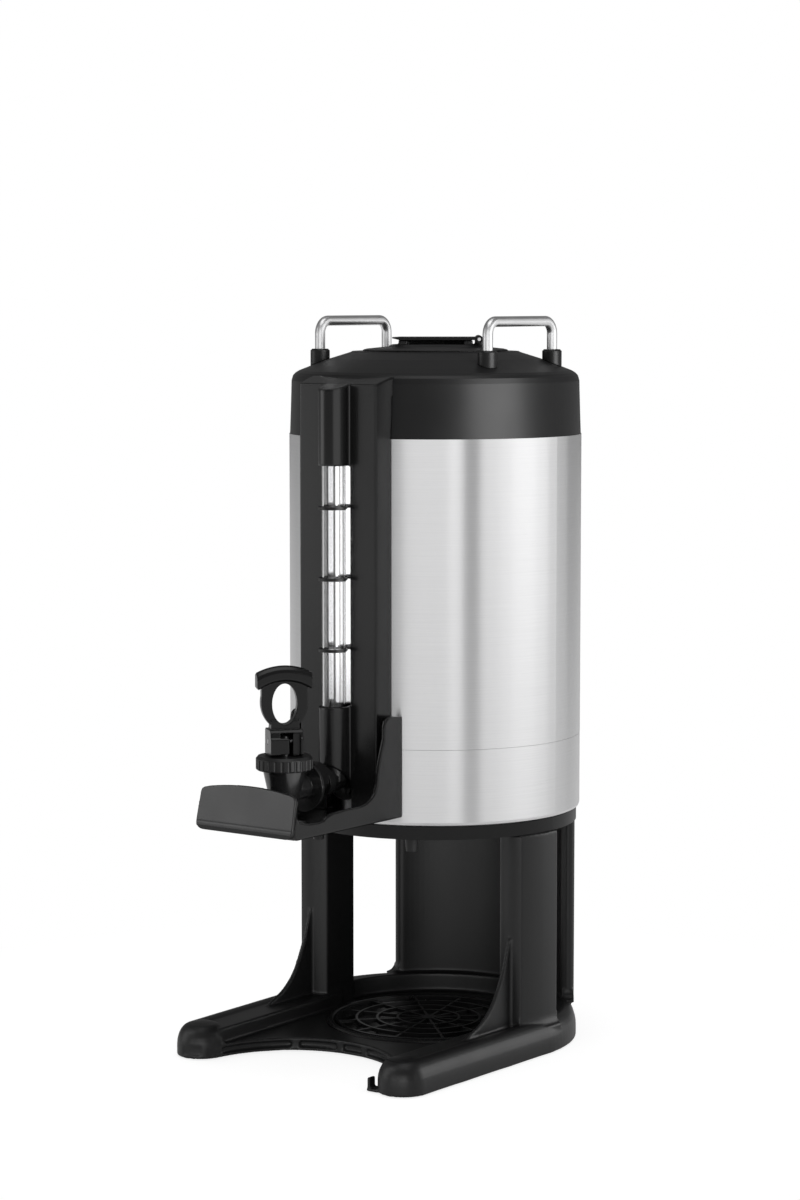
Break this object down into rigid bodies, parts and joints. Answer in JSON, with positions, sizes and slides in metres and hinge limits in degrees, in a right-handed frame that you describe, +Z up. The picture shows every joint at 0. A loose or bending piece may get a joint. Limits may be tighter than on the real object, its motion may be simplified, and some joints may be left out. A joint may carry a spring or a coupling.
{
  "type": "insulated coffee dispenser",
  "caption": "Tall insulated steel coffee dispenser with a sight gauge, a ring-lever tap with its guard, carrying handles and a moulded drip stand.",
  "frame": {"origin": "centre of the footprint box on the floor", "axes": "+Z up, the tap and the toes face -Y, +X to the right of someone behind the tank"},
  "size_m": [0.2406, 0.3564, 0.571],
  "materials": {
    "black_satin": "satin moulded plastic",
    "black_gloss": "polished moulded plastic",
    "black_rubber": "matte",
    "grey_silicone": "translucent grey silicone",
    "brushed_steel": "fine upright brushing",
    "flask_steel": "satin",
    "bright_steel": "bright satin rod",
    "screw_steel": "plated",
    "reflector": "polished sheet",
    "clear_tube": "clear"
  },
  "bodies": {
    "stand": {"stand_foot": "black_satin", "post_left": "black_gloss", "post_right": "black_gloss", "back_panel": "black_gloss", "stand_deck": "black_satin", "rubber_feet": "black_rubber", "deck_screws": "screw_steel", "foot_screws": "screw_steel"},
    "tray": {"drip_tray": "black_gloss"},
    "grate": {"drip_grate": "black_gloss"},
    "server": {"outer_shell": "brushed_steel", "base_band": "brushed_steel", "tank_base": "black_satin", "locating_pegs": "black_satin", "flask_base": "flask_steel", "flask_wall": "flask_steel", "flask_neck": "flask_steel", "top_collar": "black_satin", "mouth_gasket": "grey_silicone", "handle_left": "bright_steel", "handle_right": "bright_steel", "handle_sockets": "black_satin", "handle_nuts": "screw_steel", "gauge_cover": "black_gloss", "gauge_reflector": "reflector", "gauge_tube": "clear_tube", "gauge_markers": "black_satin", "gauge_seals": "grey_silicone", "gauge_plug": "black_satin", "tap_shank": "black_gloss", "shank_nut": "black_gloss", "shank_washer": "grey_silicone", "tap_body": "black_gloss", "tap_bonnet": "black_satin", "tap_guard": "black_gloss", "guard_plate": "black_satin", "guard_screws": "screw_steel", "tap_spring": "screw_steel"},
    "seat": {"seat_cup": "grey_silicone"},
    "stem": {"tap_stem": "black_gloss", "lever_pin": "screw_steel"},
    "lever": {"tap_lever": "black_gloss"},
    "lid": {"lid_body": "black_satin", "lid_gasket": "grey_silicone", "lid_pin": "bright_steel"},
    "flap": {"lid_flap": "black_gloss"}
  },
  "joints": [
    {"name": "server_lift", "type": "slide", "parent": "stand", "child": "server", "axis": [0, 0, 1], "range_m": [0, 0.06]},
    {"name": "tray_lift", "type": "slide", "parent": "stand", "child": "tray", "axis": [0, 0, 1], "range_m": [0, 0.03]},
    {"name": "grate_lift", "type": "slide", "parent": "tray", "child": "grate", "axis": [0, 0, 1], "range_m": [0, 0.03]},
    {"name": "seat_lift", "type": "slide", "parent": "server", "child": "seat", "axis": [0, 0, 1], "range_m": [0, 0.0035], "stiffness_N_per_m": 30, "springref_m": -0.002, "deforming": ["tap_spring"]},
    {"name": "lever_swivel", "type": "hinge", "parent": "seat", "child": "stem", "pos_m": [0, -0.1293, 0.24], "axis": [0, 0, 1], "continuous": true},
    {"name": "lever_tilt", "type": "hinge", "parent": "stem", "child": "lever", "pos_m": [0, -0.1293, 0.2562], "axis": [0.6428, 0.766, 0], "range_deg": [0, 30], "stiffness_Nm_per_rad": 0.08, "springref_deg": -17.19},
    {"name": "lid_lift", "type": "slide", "parent": "server", "child": "lid", "axis": [0, 0, 1], "range_m": [0, 0.04]},
    {"name": "flap_hinge", "type": "hinge", "parent": "lid", "child": "flap", "pos_m": [0.02737, 0.08338, 0.5528], "axis": [-0.5934, 0.8049, 0], "range_deg": [0, 100]}
  ],
  "couplings": [
    {"joint": "seat_lift", "follows": "lever_tilt", "m_per_rad": 0.0066845}
  ]
}
